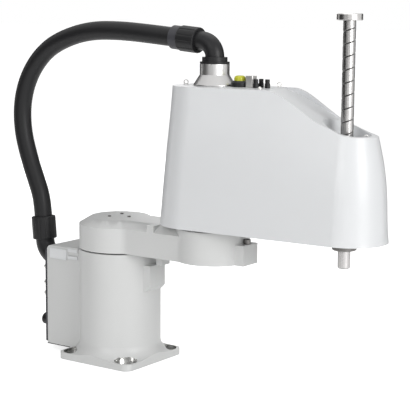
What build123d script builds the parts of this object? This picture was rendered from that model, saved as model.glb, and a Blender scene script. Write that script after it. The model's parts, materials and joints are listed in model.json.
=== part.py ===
"""A small four-axis horizontal-arm assembly robot, bolted to a bench.

The base casting carries arm 1 on a vertical axis, arm 1 carries arm 2 on a second one, and a hollow
spline shaft turns and slides in arm 2's nose. A hose brings the cables over both axes.
Millimetres, +Z up. The origin is the centre of the base plate's underside, and both arms point
along +X.
"""

import math
import os

from build123d import *

# Reach and stroke
ARM_1_REACH = 200.0
ARM_2_REACH = 250.0
SPINDLE_STROKE = 180.0
SPINDLE_X = ARM_1_REACH + ARM_2_REACH

# Clearances
TURNING_GAP = 0.3
FIT_GAP = 0.05

# Base plate and its four bolt holes
PLATE_SIDE = 160.0
PLATE_THICKNESS = 12.0
PLATE_CORNER_RADIUS = 15.0
BOLT_SPACING = 115.0
BOLT_HOLE_DIAMETER = 11.0
SPOTFACE_DIAMETER = 40.0
SPOTFACE_DEPTH = 6.0
SPOTFACE_WALL_HEIGHT = 8.0
SPOTFACE_ROOF_RADIUS = 12.0
SPOTFACE_ROOF_HEIGHT = 4.0

# Column
COLUMN_RADIUS = 72.0
COLUMN_TOP = 196.5
FLARE_RADIUS = 22.0
FRONT_BOSS_REACH = 83.0
FRONT_BOSS_WIDTH = 43.0
FRONT_BOSS_BOTTOM = 130.0
FRONT_BOSS_TOP = 176.0
FRONT_BOSS_CHAMFER = 8.0

# Rear housing of the base, with its connector panel
HOUSING_REACH = 137.0
HOUSING_WIDTH = 84.0
HOUSING_TOP = 192.5
HOUSING_TOP_RADIUS = 8.0
HOUSING_EDGE_RADIUS = 3.0
PAD_PROUD = 1.2
PAD_LENGTH = 40.0
PAD_HEIGHT = 18.0
PAD_REAR_DISTANCE = 32.0
STOP_BLOCK_CENTRE_X = -72.0
STOP_BLOCK_LENGTH = 22.0
STOP_BLOCK_HEIGHT = 13.0
STOP_BLOCK_RISE = 1.5
PANEL_THICKNESS = 4.5
PANEL_MARGIN = 1.5
POWER_CONNECTOR_DIAMETER = 21.0
POWER_CONNECTOR_Y = -20.0
POWER_CONNECTOR_Z = 50.0
SIGNAL_CONNECTOR_Y = 19.0
SIGNAL_CONNECTOR_Z = 60.0
SIGNAL_CONNECTOR_HEIGHT = 46.0
SIGNAL_CONNECTOR_WIDTH = 20.0
POWER_CONNECTOR_REACH = 20.0
SIGNAL_CONNECTOR_REACH = 14.0
CONNECTOR_FLANGE_MARGIN = 3.0
CONNECTOR_FLANGE_THICKNESS = 3.0
CONNECTOR_EDGE_RADIUS = 3.0
CONNECTOR_CHAMFER = 1.5
FITTING_DIAMETER = 11.0
FITTING_NECK_DIAMETER = 8.0
FITTING_REACH = 9.0
REAR_FITTING_Y = 30.0
REAR_FITTING_HEIGHTS = (101.0, 121.0, 150.0)

# Arm 1
ARM_1_BOTTOM = 199.0
ARM_1_TOP = 254.0
ARM_1_HUB_RADIUS = 72.0
ARM_1_LOBE_RADIUS = 62.0
ARM_1_WEB_WIDTH = 106.0
ARM_1_CHAMFER_HEIGHT = 12.0
ARM_1_CHAMFER_WIDTH = 20.0
ARM_1_BLEND_RADIUS = 24.0
ARM_1_BOSS_REACH = 75.0
ARM_1_BOSS_WIDTH = 42.0
ARM_1_BOSS_TOP = 233.0
BOSS_SCREW_DIAMETER = 12.0
BOSS_SCREW_HEIGHT = 8.0
BOSS_SCREW_INSET = 6.8
SCREW_SOCKET_WIDTH = 6.0
SCREW_SOCKET_DEPTH = 4.0
STOP_LUG_INNER = 88.5
STOP_LUG_OUTER = 101.0
STOP_LUG_WIDTH = 25.0
STOP_LUG_BOTTOM = 178.0
STOP_PAD_CENTRE_X = 107.0
STOP_PAD_LENGTH = 14.0
BEARING_RING_OUTER = 66.0
BEARING_RING_INNER = 52.0

# Arm 2: casting, moulded cover and the tower for the hose
ARM_2_BOTTOM = 258.5
COVER_HEIGHT = 232.5
COVER_TOP = ARM_2_BOTTOM + COVER_HEIGHT
COVER_WALL = 4.0
ARM_2_CASTING_HEIGHT = 16.0
NOSE_CENTRE_OFFSET = 6.0
COVER_SECTIONS = (
    # height above the cover's bottom, rear centre behind axis 2, rear radius, nose radius
    (0.0, 18.0, 75.0, 63.8),
    (60.0, 16.0, 71.7, 60.0),
    (110.0, 14.0, 69.0, 55.5),
    (161.5, 11.5, 66.0, 45.0),
    (COVER_HEIGHT, 9.0, 62.0, 34.0),
)
COVER_PROFILE = (
    # distance from the spindle's axis and drop from the cover's top, along its front slope
    (-120.0, 0.0),
    (-93.0, 9.0),
    (-65.0, 25.5),
    (-33.0, 44.5),
    (1.0, 58.0),
    (39.0, 66.5),
)
SCOOP_PROFILE = (
    # the same for the floor of the scoop
    (-142.0, 0.0),
    (-110.0, 10.0),
    (-78.0, 24.0),
    (-35.0, 44.5),
)
SLOPE_START_TANGENT = (1.0, -0.1)
SLOPE_END_TANGENT = (1.0, -0.08)
SCOOP_START_TANGENT = (1.0, -0.2)
SCOOP_END_TANGENT = (1.0, -0.5)
NOSE_TOP_DROP = 67.5
POCKET_RADIUS = 38.0
POCKET_FLOOR_DROP = 73.5
SCOOP_WIDTH = 76.0
NUT_HOLE_CLEARANCE = 1.0
SHAFT_HOLE_CLEARANCE = 1.5
TOWER_BASE_RADIUS = 35.0
TOWER_BASE_HEIGHT = 2.0
TOWER_RADIUS = 24.7
TOWER_CONE_HEIGHT = 18.0
TOWER_HEIGHT = 36.0
TOWER_TOP = COVER_TOP + TOWER_HEIGHT

# Hose elbows, nuts and the hose itself
COLLAR_RADIUS = 21.0
COLLAR_HEIGHT = 11.0
COLLAR_TOP = TOWER_TOP + COLLAR_HEIGHT
COLLAR_LIP = 3.0
ELBOW_TUBE_RADIUS = 15.7
UPPER_ELBOW_BEND = 25.5
UPPER_ELBOW_RISE = 5.0
UPPER_ELBOW_SPIGOT = 8.0
UPPER_NUT_RADIUS = 21.5
UPPER_NUT_LENGTH = 36.0
NUT_RING_LENGTH = 16.0
NUT_RING_RADIUS = 20.0
LOWER_ELBOW_TUBE_RADIUS = 17.0
LOWER_ELBOW_BEND = 30.0
LOWER_ELBOW_Z = 163.0
LOWER_NUT_RADIUS = 22.0
LOWER_ELBOW_LEAN = 5.0
LOWER_ELBOW_SPIGOT = 4.0
LOWER_NUT_LENGTH = 41.5
NUT_CHAMFER = 2.5
GLAND_RADIUS = 20.0
GLAND_LENGTH = 6.0
HOSE_DIAMETER = 32.5
HOSE_ARC_SHARE = 0.45
HOSE_FIRST_RUN = 56.2
HOSE_LAST_RUN = 22.4
HOSE_ROUTE = (
    # x and z of the corners between the two exits, in the plane of both arms
    (2.0, 577.5),
    (-60.5, 577.0),
    (-118.0, 564.5),
    (-170.0, 541.0),
    (-209.5, 499.0),
    (-230.0, 448.0),
    (-230.3, 392.5),
    (-214.0, 340.0),
    (-198.0, 302.0),
    (-188.5, 280.0),
)

# Ball-screw spline shaft
SPINDLE_DIAMETER = 20.0
SPINDLE_BORE_DIAMETER = 14.0
SPINDLE_TIP = 215.0
SPINDLE_CHAMFER = 1.5
TOOL_LAND_LENGTH = 26.0
RELIEF_WIDTH = 2.0
RELIEF_DEPTH = 0.5
SPLINE_GROOVE_COUNT = 3
SPLINE_GROOVE_RADIUS = 1.6
TOP_STOP_RADIUS = 20.3
TOP_STOP_HEIGHT = 10.5
TOP_STOP_CHAMFER = 1.2
TOP_STOP_CLEARANCE = 3.0
NUT_RADIUS = 16.0
NUT_TOP = 300.0
NUT_FLANGE_RADIUS = 19.5
NUT_FLANGE_BOTTOM = 244.0
FLANGE_CHAMFER = 1.5

# Fittings on the cover, at their distances from axis 2
BUTTON_OFFSET = 50.0
BUTTON_BASE_RADIUS = 14.5
BUTTON_BASE_HEIGHT = 10.0
BUTTON_BASE_CHAMFER = 3.0
BUTTON_RADIUS = 9.5
BUTTON_HEIGHT = 8.5
BUTTON_EDGE_RADIUS = 5.0
USER_CONNECTOR_OFFSET = 72.0
USER_CONNECTOR_SIDE = 14.0
USER_CONNECTOR_HEIGHT = 19.0
USER_CONNECTOR_EDGE_RADIUS = 1.5
TOP_FITTING_OFFSETS = ((86.0, -8.0), (86.0, 8.0), (103.0, 0.0))
TOP_FITTING_RADIUS = 5.0
TOP_FITTING_NECK_RADIUS = 3.75
TOP_FITTING_HEIGHT = 14.0

os.makedirs("parts", exist_ok=True)


def finish(part, label):
    """Names a finished piece and writes it as a file of its own."""
    part.label = label
    export_step(part, f"parts/{label}.step")


# Base casting: plate, flared column, rear housing and front boss in one piece
bolt_places = GridLocations(BOLT_SPACING, BOLT_SPACING, 2, 2)
with BuildPart() as base_casting:
    with BuildSketch(Plane.XZ):
        with BuildLine():
            flare_foot = COLUMN_RADIUS + FLARE_RADIUS
            flare_top = PLATE_THICKNESS + FLARE_RADIUS
            Polyline(
                (COLUMN_RADIUS, flare_top),
                (0, flare_top),
                (0, 0),
                (flare_foot, 0),
                (flare_foot, PLATE_THICKNESS),
            )
            RadiusArc((flare_foot, PLATE_THICKNESS), (COLUMN_RADIUS, flare_top), FLARE_RADIUS)
        make_face()
    revolve(axis=Axis.Z)
    with BuildSketch():
        RectangleRounded(PLATE_SIDE, PLATE_SIDE, PLATE_CORNER_RADIUS)
    extrude(amount=COLUMN_TOP, mode=Mode.INTERSECT)
    with BuildSketch():
        RectangleRounded(PLATE_SIDE, PLATE_SIDE, PLATE_CORNER_RADIUS)
    extrude(amount=PLATE_THICKNESS)
    with BuildSketch(Plane.XY.offset(PLATE_THICKNESS)):
        Circle(COLUMN_RADIUS)
    extrude(amount=COLUMN_TOP - PLATE_THICKNESS)
    with BuildSketch(Plane.XZ):
        with BuildLine():
            Polyline(
                (-HOUSING_REACH, HOUSING_TOP),
                (-HOUSING_REACH, PLATE_THICKNESS),
                (0, PLATE_THICKNESS),
                (0, HOUSING_TOP),
                (-HOUSING_REACH, HOUSING_TOP),
            )
        housing_profile = make_face()
        fillet(housing_profile.vertices().group_by(Axis.X)[0].sort_by(Axis.Y)[-1], HOUSING_TOP_RADIUS)
    extrude(amount=HOUSING_WIDTH / 2, both=True)
    housing_rims = [
        edge
        for edge in base_casting.edges()
        if abs(abs(edge.center().Y) - HOUSING_WIDTH / 2) < FIT_GAP
        and edge.center().Z > HOUSING_TOP - HOUSING_TOP_RADIUS
    ]
    fillet(housing_rims, HOUSING_EDGE_RADIUS)
    with BuildSketch(Plane.XZ):
        with Locations((STOP_BLOCK_CENTRE_X, HOUSING_TOP + STOP_BLOCK_RISE - STOP_BLOCK_HEIGHT / 2)):
            Rectangle(STOP_BLOCK_LENGTH, STOP_BLOCK_HEIGHT)
    extrude(amount=HOUSING_WIDTH / 2 + PAD_PROUD, both=True)
    with BuildSketch(Plane.XZ):
        with BuildLine():
            Polyline(
                (0, FRONT_BOSS_TOP),
                (FRONT_BOSS_REACH, FRONT_BOSS_TOP),
                (FRONT_BOSS_REACH, FRONT_BOSS_BOTTOM + FRONT_BOSS_CHAMFER),
                (FRONT_BOSS_REACH - FRONT_BOSS_CHAMFER, FRONT_BOSS_BOTTOM),
                (0, FRONT_BOSS_BOTTOM),
                (0, FRONT_BOSS_TOP),
            )
        make_face()
    extrude(amount=FRONT_BOSS_WIDTH / 2, both=True)
    with BuildSketch(Plane.XZ):
        pad_z = HOUSING_TOP - HOUSING_EDGE_RADIUS - PAD_HEIGHT / 2
        with Locations((PAD_REAR_DISTANCE - HOUSING_REACH, pad_z)):
            RectangleRounded(PAD_LENGTH, PAD_HEIGHT, HOUSING_EDGE_RADIUS)
    extrude(amount=HOUSING_WIDTH / 2 + PAD_PROUD, both=True)
    # The spotfaces, cored under the flare with a sloped roof
    spotface_floor = PLATE_THICKNESS - SPOTFACE_DEPTH
    with BuildSketch(Plane.XY.offset(spotface_floor)):
        with bolt_places:
            Circle(SPOTFACE_DIAMETER / 2)
    extrude(amount=SPOTFACE_WALL_HEIGHT, mode=Mode.SUBTRACT)
    with Locations(Plane.XY.offset(spotface_floor + SPOTFACE_WALL_HEIGHT)):
        with GridLocations(BOLT_SPACING, BOLT_SPACING, 2, 2):
            Cone(
                SPOTFACE_DIAMETER / 2,
                SPOTFACE_ROOF_RADIUS,
                SPOTFACE_ROOF_HEIGHT,
                align=(Align.CENTER, Align.CENTER, Align.MIN),
                mode=Mode.SUBTRACT,
            )
    with BuildSketch():
        with bolt_places:
            Circle(BOLT_HOLE_DIAMETER / 2)
    extrude(amount=PLATE_THICKNESS, mode=Mode.SUBTRACT)
finish(base_casting.part, "base_casting")

# Dark ring in the gap between the column and arm 1
with BuildPart() as axis_1_bearing_ring:
    with BuildSketch(Plane.XY.offset(COLUMN_TOP)):
        Circle(BEARING_RING_OUTER)
        Circle(BEARING_RING_INNER, mode=Mode.SUBTRACT)
    extrude(amount=ARM_1_BOTTOM - COLUMN_TOP - TURNING_GAP)
finish(axis_1_bearing_ring.part, "axis_1_bearing_ring")

# Rear panel and what is mounted on it
panel_height = HOUSING_TOP - HOUSING_TOP_RADIUS - PLATE_THICKNESS - PANEL_MARGIN
panel_plane = Plane(origin=(-HOUSING_REACH, 0, 0), x_dir=(0, -1, 0), z_dir=(-1, 0, 0))
panel_face = panel_plane.offset(PANEL_THICKNESS)
with BuildPart() as rear_panel:
    with BuildSketch(panel_plane):
        with Locations((0, PLATE_THICKNESS + PANEL_MARGIN + panel_height / 2)):
            RectangleRounded(HOUSING_WIDTH - 2 * PANEL_MARGIN, panel_height, HOUSING_EDGE_RADIUS)
    extrude(amount=PANEL_THICKNESS)
finish(rear_panel.part, "rear_panel")

with BuildPart() as power_connector:
    power_flange_side = POWER_CONNECTOR_DIAMETER + 2 * CONNECTOR_FLANGE_MARGIN
    with BuildSketch(panel_face):
        with Locations((-POWER_CONNECTOR_Y, POWER_CONNECTOR_Z)):
            RectangleRounded(power_flange_side, power_flange_side, CONNECTOR_EDGE_RADIUS)
    extrude(amount=CONNECTOR_FLANGE_THICKNESS)
    with BuildSketch(panel_face):
        with Locations((-POWER_CONNECTOR_Y, POWER_CONNECTOR_Z)):
            Circle(POWER_CONNECTOR_DIAMETER / 2)
    extrude(amount=POWER_CONNECTOR_REACH)
    chamfer(power_connector.faces().sort_by(Axis.X)[0].edges(), CONNECTOR_CHAMFER)
finish(power_connector.part, "power_connector")

with BuildPart() as signal_connector:
    with BuildSketch(panel_face):
        with Locations((-SIGNAL_CONNECTOR_Y, SIGNAL_CONNECTOR_Z)):
            RectangleRounded(
                SIGNAL_CONNECTOR_WIDTH + 2 * CONNECTOR_FLANGE_MARGIN,
                SIGNAL_CONNECTOR_HEIGHT + 2 * CONNECTOR_FLANGE_MARGIN,
                CONNECTOR_EDGE_RADIUS,
            )
    extrude(amount=CONNECTOR_FLANGE_THICKNESS)
    with BuildSketch(panel_face):
        with Locations((-SIGNAL_CONNECTOR_Y, SIGNAL_CONNECTOR_Z)):
            RectangleRounded(SIGNAL_CONNECTOR_WIDTH, SIGNAL_CONNECTOR_HEIGHT, CONNECTOR_EDGE_RADIUS)
    extrude(amount=SIGNAL_CONNECTOR_REACH)
    chamfer(signal_connector.faces().sort_by(Axis.X)[0].edges(), CONNECTOR_CHAMFER)
finish(signal_connector.part, "signal_connector")

with BuildPart() as rear_air_fittings:
    for height in REAR_FITTING_HEIGHTS:
        with BuildSketch(panel_face):
            with Locations((-REAR_FITTING_Y, height), (REAR_FITTING_Y, height)):
                RegularPolygon(FITTING_DIAMETER / 2, 6)
        extrude(amount=FITTING_REACH / 2)
        with BuildSketch(panel_face):
            with Locations((-REAR_FITTING_Y, height), (REAR_FITTING_Y, height)):
                Circle(FITTING_NECK_DIAMETER / 2)
        extrude(amount=FITTING_REACH)
finish(rear_air_fittings.part, "rear_air_fittings")

# Lower end of the hose: gland on the panel, elbow and nut
panel_face_x = -HOUSING_REACH - PANEL_THICKNESS
gland_end_x = panel_face_x - GLAND_LENGTH
with BuildPart() as hose_gland:
    with BuildSketch(panel_face):
        with Locations((0, LOWER_ELBOW_Z)):
            Circle(GLAND_RADIUS)
    extrude(amount=GLAND_LENGTH)
    chamfer(hose_gland.faces().sort_by(Axis.X)[0].edges(), 1.0)
finish(hose_gland.part, "hose_gland")

lower_turn = math.radians(90 - LOWER_ELBOW_LEAN)
lower_start = Vector(gland_end_x, 0, LOWER_ELBOW_Z)
lower_centre = lower_start + Vector(0, 0, LOWER_ELBOW_BEND)
lower_end = lower_centre + Vector(-math.sin(lower_turn), 0, -math.cos(lower_turn)) * LOWER_ELBOW_BEND
lower_middle = (
    lower_centre
    + Vector(-math.sin(lower_turn / 2), 0, -math.cos(lower_turn / 2)) * LOWER_ELBOW_BEND
)
lower_way = Vector(-math.cos(lower_turn), 0, math.sin(lower_turn))
with BuildPart() as lower_elbow:
    with BuildLine():
        ThreePointArc(lower_start, lower_middle, lower_end)
    with BuildSketch(Plane(origin=lower_start, z_dir=(-1, 0, 0))):
        Circle(LOWER_ELBOW_TUBE_RADIUS)
    sweep()
    with BuildSketch(Plane(origin=lower_end, z_dir=lower_way)):
        Circle(LOWER_ELBOW_TUBE_RADIUS)
    extrude(amount=LOWER_ELBOW_SPIGOT)
finish(lower_elbow.part, "lower_elbow")

lower_nut_start = lower_end + lower_way * LOWER_ELBOW_SPIGOT
with BuildPart() as lower_hose_nut:
    with BuildSketch(Plane(origin=lower_nut_start, z_dir=lower_way)):
        Circle(LOWER_NUT_RADIUS)
    extrude(amount=LOWER_NUT_LENGTH)
    chamfer(lower_hose_nut.edges(), NUT_CHAMFER)
finish(lower_hose_nut.part, "lower_hose_nut")

# Arm 1: chamfered hub and web, plain lobe around axis 2, and the boss at its end
web_half = ARM_1_WEB_WIDTH / 2
chamfer_bottom = ARM_1_TOP - ARM_1_CHAMFER_HEIGHT
with BuildPart() as arm_1_casting:
    with BuildSketch(Plane.XY.offset(ARM_1_BOTTOM)) as arm_1_outline:
        Circle(ARM_1_HUB_RADIUS)
        with Locations((ARM_1_REACH, 0)):
            Circle(ARM_1_LOBE_RADIUS)
        with Locations((ARM_1_REACH / 2, 0)):
            Rectangle(ARM_1_REACH, ARM_1_WEB_WIDTH)
        inner_corners = [
            v
            for v in arm_1_outline.vertices()
            if abs(abs(v.Y) - web_half) < 0.01 and 0 < v.X < ARM_1_REACH
        ]
        fillet(inner_corners, ARM_1_BLEND_RADIUS)
    extrude(amount=chamfer_bottom - ARM_1_BOTTOM)
    with Locations(Plane.XY.offset(chamfer_bottom)):
        Cone(
            ARM_1_HUB_RADIUS,
            ARM_1_HUB_RADIUS - ARM_1_CHAMFER_WIDTH,
            ARM_1_CHAMFER_HEIGHT,
            align=(Align.CENTER, Align.CENTER, Align.MIN),
        )
    with BuildSketch(Plane.YZ):
        with BuildLine():
            Polyline(
                (-web_half, chamfer_bottom),
                (web_half, chamfer_bottom),
                (web_half - ARM_1_CHAMFER_WIDTH, ARM_1_TOP),
                (-web_half + ARM_1_CHAMFER_WIDTH, ARM_1_TOP),
                (-web_half, chamfer_bottom),
            )
        make_face()
    extrude(amount=ARM_1_REACH)
    with BuildSketch(Plane.XY.offset(chamfer_bottom)):
        with Locations((ARM_1_REACH, 0)):
            Circle(ARM_1_LOBE_RADIUS)
        with Locations((STOP_PAD_CENTRE_X, 0)):
            Rectangle(STOP_PAD_LENGTH, ARM_1_WEB_WIDTH)
    extrude(amount=ARM_1_CHAMFER_HEIGHT)
    with BuildSketch(Plane.XY.offset(ARM_1_BOTTOM)):
        with Locations((ARM_1_REACH + ARM_1_BOSS_REACH / 2, 0)):
            Rectangle(ARM_1_BOSS_REACH, ARM_1_BOSS_WIDTH)
    extrude(amount=ARM_1_BOSS_TOP - ARM_1_BOTTOM)
finish(arm_1_casting.part, "arm_1_casting")

with BuildPart() as axis_1_stop_lug:
    with BuildSketch(Plane.XY.offset(STOP_LUG_BOTTOM)):
        with Locations(((STOP_LUG_INNER + STOP_LUG_OUTER) / 2, 0)):
            RectangleRounded(STOP_LUG_OUTER - STOP_LUG_INNER, STOP_LUG_WIDTH, 2)
    extrude(amount=ARM_1_BOTTOM - STOP_LUG_BOTTOM)
finish(axis_1_stop_lug.part, "axis_1_stop_lug")

with BuildPart() as boss_screw:
    with BuildSketch(Plane.XY.offset(ARM_1_BOSS_TOP)):
        with Locations((ARM_1_REACH + ARM_1_BOSS_REACH - BOSS_SCREW_INSET, 0)):
            Circle(BOSS_SCREW_DIAMETER / 2)
    extrude(amount=BOSS_SCREW_HEIGHT)
    with BuildSketch(Plane.XY.offset(ARM_1_BOSS_TOP + BOSS_SCREW_HEIGHT)):
        with Locations((ARM_1_REACH + ARM_1_BOSS_REACH - BOSS_SCREW_INSET, 0)):
            RegularPolygon(SCREW_SOCKET_WIDTH / 2, 6, major_radius=False)
    extrude(amount=-SCREW_SOCKET_DEPTH, mode=Mode.SUBTRACT)
finish(boss_screw.part, "boss_screw")

with BuildPart() as axis_2_bearing_ring:
    with BuildSketch(Plane.XY.offset(ARM_1_TOP)):
        with Locations((ARM_1_REACH, 0)):
            Circle(BEARING_RING_INNER)
            Circle(TOWER_BASE_RADIUS, mode=Mode.SUBTRACT)
    extrude(amount=ARM_2_BOTTOM - ARM_1_TOP - TURNING_GAP)
finish(axis_2_bearing_ring.part, "axis_2_bearing_ring")


def hull_outline(rear_x, rear_radius, nose_x, nose_radius):
    """Returns the face of two round ends joined by tangent sides."""
    lean = math.asin((rear_radius - nose_radius) / (nose_x - rear_x))
    rear_dx, rear_dy = rear_radius * math.sin(lean), rear_radius * math.cos(lean)
    nose_dx, nose_dy = nose_radius * math.sin(lean), nose_radius * math.cos(lean)
    rear_right, rear_left = (rear_x + rear_dx, -rear_dy), (rear_x + rear_dx, rear_dy)
    nose_right, nose_left = (nose_x + nose_dx, -nose_dy), (nose_x + nose_dx, nose_dy)
    with BuildSketch() as outline:
        with BuildLine():
            Line(rear_right, nose_right)
            ThreePointArc(nose_right, (nose_x + nose_radius, 0), nose_left)
            Line(nose_left, rear_left)
            ThreePointArc(rear_left, (rear_x - rear_radius, 0), rear_right)
        make_face()
    return outline.sketch


# Arm 2's casting, which the cover sits over
nose_x = SPINDLE_X + NOSE_CENTRE_OFFSET
bottom_rear_offset, bottom_rear_radius, bottom_nose_radius = COVER_SECTIONS[0][1:]
with BuildPart() as arm_2_casting:
    with BuildSketch(Plane.XY.offset(ARM_2_BOTTOM)):
        add(
            hull_outline(
                ARM_1_REACH - bottom_rear_offset,
                bottom_rear_radius - COVER_WALL - FIT_GAP,
                nose_x,
                bottom_nose_radius - COVER_WALL - FIT_GAP,
            )
        )
        with Locations((SPINDLE_X, 0)):
            Circle(NUT_RADIUS + TURNING_GAP, mode=Mode.SUBTRACT)
    extrude(amount=ARM_2_CASTING_HEIGHT)
finish(arm_2_casting.part, "arm_2_casting")

# Moulded cover: lofted hull, cut by its side profile, with the scoop and pocket around the spindle
cover_profile = [(SPINDLE_X + x, COVER_TOP - drop) for x, drop in COVER_PROFILE]
scoop_profile = [(SPINDLE_X + x, COVER_TOP - drop) for x, drop in SCOOP_PROFILE]
beyond_nose = (nose_x + bottom_nose_radius, COVER_TOP - NOSE_TOP_DROP)
above_cover = COVER_TOP + COVER_HEIGHT
with BuildPart() as arm_2_cover:
    for height, rear_offset, rear_radius, nose_radius in COVER_SECTIONS:
        with BuildSketch(Plane.XY.offset(ARM_2_BOTTOM + height)):
            add(hull_outline(ARM_1_REACH - rear_offset, rear_radius, nose_x, nose_radius))
    loft()
    with BuildSketch(Plane.XZ):
        with BuildLine():
            Spline(*cover_profile, tangents=(SLOPE_START_TANGENT, SLOPE_END_TANGENT))
            Polyline(
                cover_profile[-1],
                beyond_nose,
                (beyond_nose[0], above_cover),
                (cover_profile[0][0], above_cover),
                cover_profile[0],
            )
        make_face()
    extrude(amount=bottom_rear_radius, both=True, mode=Mode.SUBTRACT)
    with BuildSketch(Plane.XZ):
        with BuildLine():
            Spline(*scoop_profile, tangents=(SCOOP_START_TANGENT, SCOOP_END_TANGENT))
            Polyline(
                scoop_profile[-1],
                (scoop_profile[-1][0], above_cover),
                (scoop_profile[0][0], above_cover),
                scoop_profile[0],
            )
        make_face()
    extrude(amount=SCOOP_WIDTH / 2, both=True, mode=Mode.SUBTRACT)
    with BuildSketch(Plane.XY.offset(COVER_TOP - POCKET_FLOOR_DROP)):
        with Locations((SPINDLE_X, 0)):
            Circle(POCKET_RADIUS)
    extrude(amount=POCKET_FLOOR_DROP, mode=Mode.SUBTRACT)
    with BuildSketch(Plane.XY.offset(ARM_2_BOTTOM)):
        add(
            hull_outline(
                ARM_1_REACH - bottom_rear_offset,
                bottom_rear_radius - COVER_WALL,
                nose_x,
                bottom_nose_radius - COVER_WALL,
            )
        )
    extrude(amount=ARM_2_CASTING_HEIGHT, mode=Mode.SUBTRACT)
    with BuildSketch(Plane.XY.offset(ARM_2_BOTTOM)):
        with Locations((SPINDLE_X, 0)):
            Circle(NUT_RADIUS + NUT_HOLE_CLEARANCE)
    extrude(amount=NUT_TOP + NUT_HOLE_CLEARANCE - ARM_2_BOTTOM, mode=Mode.SUBTRACT)
    with BuildSketch(Plane.XY.offset(NUT_TOP)):
        with Locations((SPINDLE_X, 0)):
            Circle(SPINDLE_DIAMETER / 2 + SHAFT_HOLE_CLEARANCE)
    extrude(amount=COVER_TOP - NUT_TOP, mode=Mode.SUBTRACT)
finish(arm_2_cover.part, "arm_2_cover")

# Tower that carries the hose's swivel over axis 2
with BuildPart() as hose_tower:
    with BuildSketch(Plane.XZ):
        with BuildLine():
            Polyline(
                (0, COVER_TOP),
                (TOWER_BASE_RADIUS, COVER_TOP),
                (TOWER_BASE_RADIUS, COVER_TOP + TOWER_BASE_HEIGHT),
                (TOWER_RADIUS, COVER_TOP + TOWER_CONE_HEIGHT),
                (TOWER_RADIUS, TOWER_TOP),
                (0, TOWER_TOP),
                (0, COVER_TOP),
            )
        make_face()
    revolve(axis=Axis.Z)
hose_tower.part.locate(Location((ARM_1_REACH, 0, 0)))
finish(hose_tower.part, "hose_tower")

# Upper end of the hose: collar, elbow, nut and its ring
collar_bottom = TOWER_TOP + TURNING_GAP
with BuildPart() as elbow_collar:
    with BuildSketch(Plane.XY.offset(collar_bottom)):
        with Locations((ARM_1_REACH, 0)):
            Circle(TOWER_RADIUS)
    extrude(amount=COLLAR_LIP)
    with BuildSketch(Plane.XY.offset(collar_bottom)):
        with Locations((ARM_1_REACH, 0)):
            Circle(COLLAR_RADIUS)
    extrude(amount=COLLAR_TOP - collar_bottom)
finish(elbow_collar.part, "elbow_collar")

bend = UPPER_ELBOW_BEND
turned = math.radians(90 - UPPER_ELBOW_RISE)
elbow_centre_x = ARM_1_REACH - bend
elbow_end = Vector(elbow_centre_x + bend * math.cos(turned), 0, COLLAR_TOP + bend * math.sin(turned))
elbow_middle = Vector(
    elbow_centre_x + bend * math.cos(turned / 2), 0, COLLAR_TOP + bend * math.sin(turned / 2)
)
hose_way = Vector(-math.sin(turned), 0, math.cos(turned))
with BuildPart() as upper_elbow:
    with BuildLine():
        ThreePointArc((ARM_1_REACH, 0, COLLAR_TOP), elbow_middle, elbow_end)
    with BuildSketch(Plane.XY.offset(COLLAR_TOP)):
        with Locations((ARM_1_REACH, 0)):
            Circle(ELBOW_TUBE_RADIUS)
    sweep()
    with BuildSketch(Plane(origin=elbow_end, z_dir=hose_way)):
        Circle(ELBOW_TUBE_RADIUS)
    extrude(amount=UPPER_ELBOW_SPIGOT)
finish(upper_elbow.part, "upper_elbow")

nut_start = elbow_end + hose_way * UPPER_ELBOW_SPIGOT
with BuildPart() as upper_hose_nut:
    with BuildSketch(Plane(origin=nut_start, z_dir=hose_way)):
        Circle(UPPER_NUT_RADIUS)
    extrude(amount=UPPER_NUT_LENGTH)
    chamfer(upper_hose_nut.edges(), NUT_CHAMFER)
finish(upper_hose_nut.part, "upper_hose_nut")

ring_start = nut_start + hose_way * UPPER_NUT_LENGTH
with BuildPart() as upper_nut_ring:
    with BuildSketch(Plane(origin=ring_start, z_dir=hose_way)):
        Circle(NUT_RING_RADIUS)
    extrude(amount=NUT_RING_LENGTH)
finish(upper_nut_ring.part, "upper_nut_ring")

# Hose: straight runs and tangent arcs from one nut to the other
hose_start = ring_start + hose_way * NUT_RING_LENGTH
hose_end = lower_nut_start + lower_way * LOWER_NUT_LENGTH
hose_points = [
    hose_start,
    hose_start + hose_way * HOSE_FIRST_RUN,
    *(Vector(x, 0, z) for x, z in HOSE_ROUTE),
    hose_end + lower_way * HOSE_LAST_RUN,
    hose_end,
]
hose_radii = []
for before, corner, after in zip(hose_points, hose_points[1:], hose_points[2:]):
    turn = math.radians((corner - before).get_angle(after - corner))
    shorter = min((corner - before).length, (after - corner).length)
    hose_radii.append(HOSE_ARC_SHARE * shorter / math.tan(turn / 2))
with BuildPart() as hose:
    with BuildLine() as hose_line:
        FilletPolyline(*hose_points, radius=hose_radii)
    with BuildSketch(Plane(origin=hose_start, z_dir=hose_way)):
        Circle(HOSE_DIAMETER / 2)
    sweep()
finish(hose.part, "hose")
hose_length = sum(edge.length for edge in hose_line.edges())
hose_section = math.pi * (HOSE_DIAMETER / 2) ** 2
print("hose start", hose_start, "end", hose_end, "length", round(hose_length, 1))
print("hose radii", [round(radius) for radius in hose_radii])
print("hose volume over section times length", hose.part.volume / (hose_section * hose_length))

# Ball-screw spline nut with its dark flange under the nose
with BuildPart() as spline_nut:
    with BuildSketch(Plane.XY.offset(ARM_2_BOTTOM - TURNING_GAP)):
        with Locations((SPINDLE_X, 0)):
            Circle(NUT_RADIUS)
            Circle(SPINDLE_DIAMETER / 2 + FIT_GAP, mode=Mode.SUBTRACT)
    extrude(amount=NUT_TOP - ARM_2_BOTTOM + TURNING_GAP)
finish(spline_nut.part, "spline_nut")

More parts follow.
